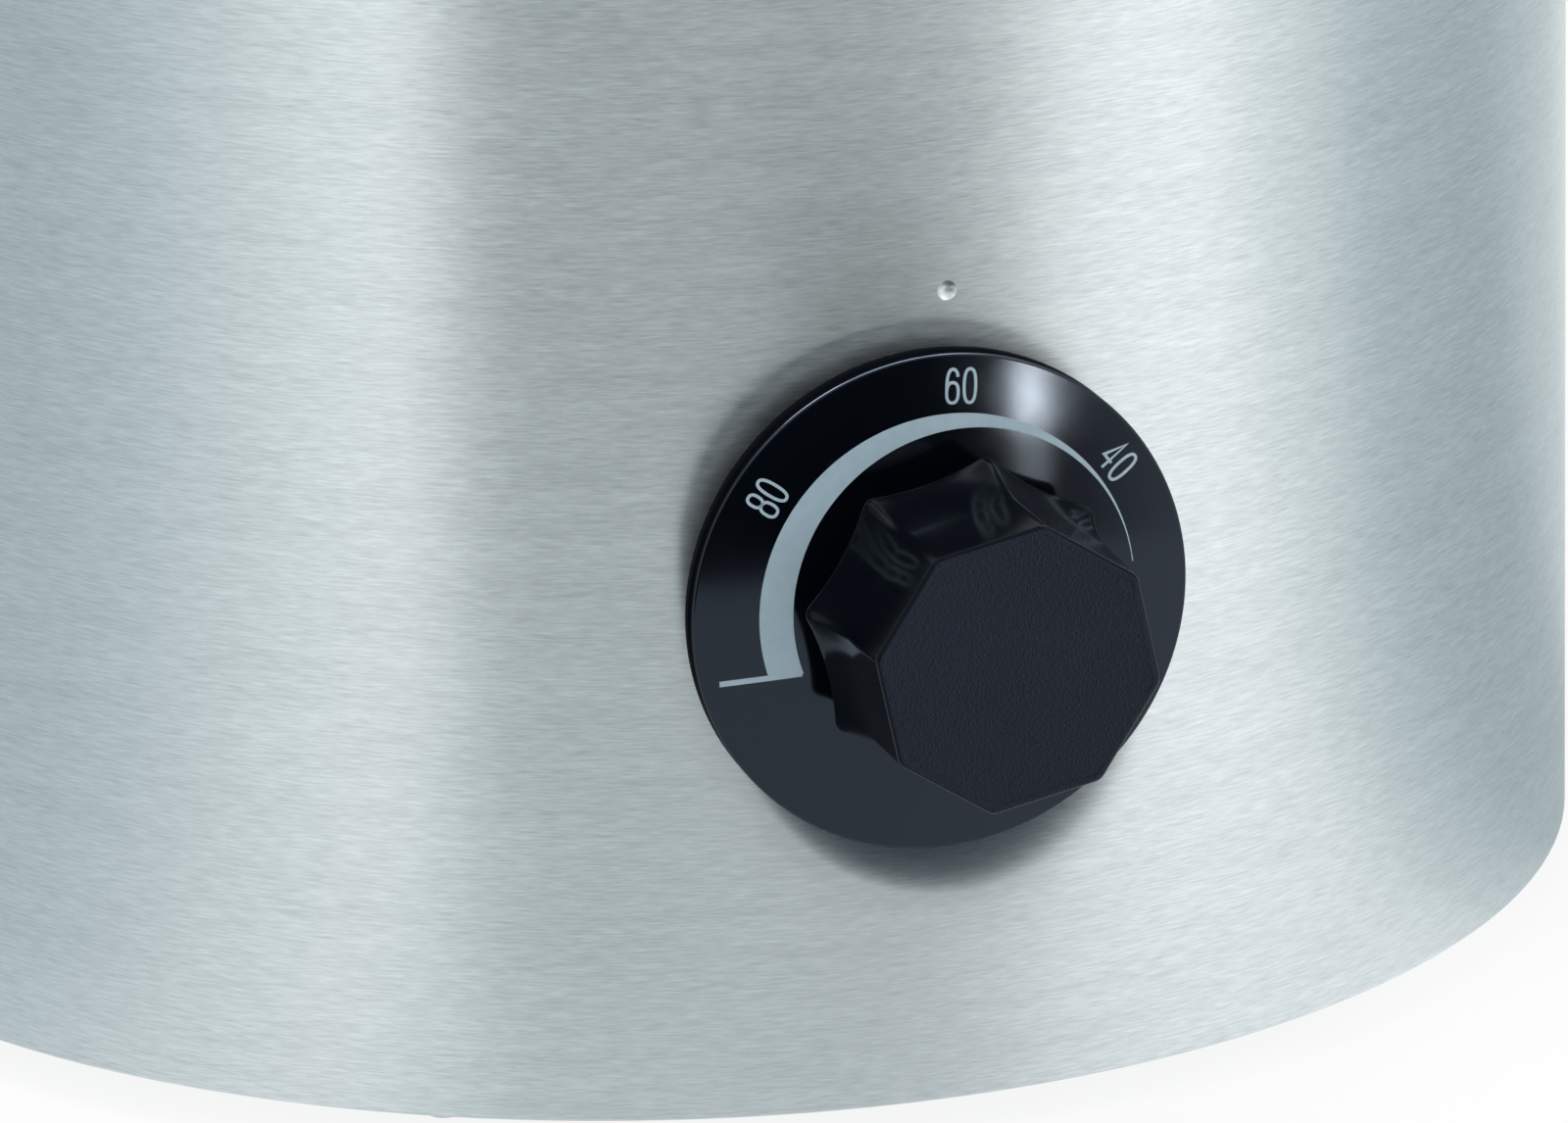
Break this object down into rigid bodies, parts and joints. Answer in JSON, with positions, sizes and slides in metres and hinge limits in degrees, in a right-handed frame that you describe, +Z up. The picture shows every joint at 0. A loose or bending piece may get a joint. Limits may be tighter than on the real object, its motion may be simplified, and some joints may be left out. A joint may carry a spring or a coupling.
{
  "type": "hot drink dispenser",
  "caption": "Round double-walled steel urn with a heated vessel, thermostat knob with a dial, sprung lever tap, domed lift-off lid and side handles.",
  "frame": {"origin": "on the body's axis, in the plane of the table under the feet", "axes": "+Z up, the tap faces -Y, the temperature knob is on the right side at +X"},
  "size_m": [0.324, 0.3063, 0.4625],
  "materials": {
    "shell_steel": "fine brush lines around the body",
    "vessel_steel": "satin",
    "plate_steel": "galvanised sheet",
    "fastener_steel": "plain",
    "black_rubber": "matte",
    "seal_silicone": "matte",
    "insulation_fibre": "felted",
    "heater_aluminium": "cast",
    "element_sheath": "heat-tinted",
    "white_ceramic": "unglazed",
    "copper": "drawn",
    "knob_black": "glossy dial and flanks, grained front",
    "handle_black": "fine moulded grain",
    "gland_black": "moulded",
    "brown_wire": "insulated",
    "blue_wire": "insulated",
    "earth_green": "insulated",
    "brass": "plain",
    "tap_chrome": "polished"
  },
  "bodies": {
    "body": {"outer_shell": "shell_steel", "base_plate": "plate_steel", "base_screws": "fastener_steel", "rubber_feet": "black_rubber", "foot_screws": "fastener_steel", "foot_nuts": "fastener_steel", "inner_vessel": "vessel_steel", "rim_seal": "seal_silicone", "insulation_sleeve": "insulation_fibre", "heat_plate": "heater_aluminium", "heating_element": "element_sheath", "clamp_bridge": "plate_steel", "stud_nuts": "fastener_steel", "heat_shield": "plate_steel", "overheat_cutout": "white_ceramic", "cutout_screws": "fastener_steel", "thermostat_bracket": "plate_steel", "bracket_screws": "fastener_steel", "thermostat_body": "white_ceramic", "thermostat_screws": "fastener_steel", "capillary_tube": "copper", "sensor_bulb": "copper", "bulb_clip": "plate_steel", "terminal_block": "white_ceramic", "block_screws": "fastener_steel", "cable_gland": "gland_black", "gland_cap": "gland_black", "gland_locknut": "gland_black", "live_wire": "brown_wire", "switched_wire": "brown_wire", "heater_wire": "brown_wire", "neutral_wire": "blue_wire", "earth_wire": "earth_green", "earth_stud": "brass", "tap_body": "tap_chrome", "tap_outer_seal": "seal_silicone", "tap_spacer": "heater_aluminium", "tap_inner_seal": "seal_silicone", "tap_nut": "tap_chrome", "tap_bonnet": "tap_chrome", "tap_spring": "fastener_steel", "pivot_pin": "fastener_steel", "left_handle": "handle_black", "right_handle": "handle_black", "handle_screws": "fastener_steel"},
    "knob": {"control_knob": "knob_black", "knob_clip": "fastener_steel", "thermostat_spindle": "fastener_steel"},
    "lever": {"tap_lever": "tap_chrome", "lever_grip": "handle_black"},
    "stem": {"tap_stem": "fastener_steel", "stem_pin": "fastener_steel", "valve_plug": "seal_silicone"},
    "lid": {"lid": "vessel_steel", "lid_knob": "handle_black", "lid_screw": "fastener_steel"}
  },
  "joints": [
    {"name": "knob_turn", "type": "hinge", "parent": "body", "child": "knob", "pos_m": [0, 0, 0.0724], "axis": [-1, 0, 0], "range_deg": [-85, 106]},
    {"name": "lever_pull", "type": "hinge", "parent": "body", "child": "lever", "pos_m": [0, -0.171, 0.191], "axis": [1, 0, 0], "range_deg": [0, 30], "stiffness_Nm_per_rad": 0.12, "springref_deg": -34.38},
    {"name": "stem_lift", "type": "slide", "parent": "body", "child": "stem", "axis": [0, 0, 1], "range_m": [0, 0.0053], "deforming": ["tap_spring"]},
    {"name": "lid_lift", "type": "slide", "parent": "body", "child": "lid", "axis": [0, 0, 1], "range_m": [0, 0.15]}
  ],
  "couplings": [
    {"joint": "stem_lift", "follows": "lever_pull", "m_per_rad": 0.009924}
  ]
}
